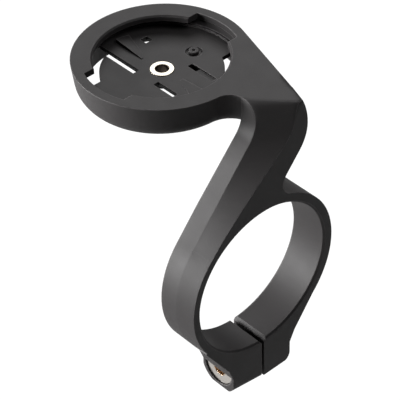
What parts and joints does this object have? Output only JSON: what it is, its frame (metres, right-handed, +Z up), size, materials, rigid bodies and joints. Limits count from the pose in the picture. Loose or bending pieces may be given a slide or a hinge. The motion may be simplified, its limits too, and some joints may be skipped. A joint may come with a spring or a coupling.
{
  "type": "bike computer mount",
  "caption": "Handlebar mount for a bicycle computer: a split clamp ring with a cross bolt, a bent arm and a round cup with a quarter-turn socket.",
  "frame": {"origin": "centre of the clamp bore, on the handlebar's axis and midway along the ring", "axes": "+X along the handlebar, away from the cup; +Z up, square to the socket floor; +Y completes the right-handed set, on the side of the ring away from the bolt head"},
  "size_m": [0.0446, 0.036, 0.0624],
  "materials": {
    "body_plastic": "dark grey fibre-filled plastic with a fine matt grain",
    "insert_metal": "bright turned metal",
    "bush_brass": "turned brass",
    "bolt_steel": "bright stainless steel"
  },
  "bodies": {
    "mount": {"mount_body": "body_plastic", "threaded_insert": "insert_metal", "clamp_bush": "bush_brass"},
    "bolt": {"clamp_bolt": "bolt_steel"}
  },
  "joints": [
    {"name": "bolt_turn", "type": "hinge", "parent": "mount", "child": "bolt", "pos_m": [0, -0.0082, -0.0214], "axis": [0, 1, 0], "continuous": true}
  ]
}
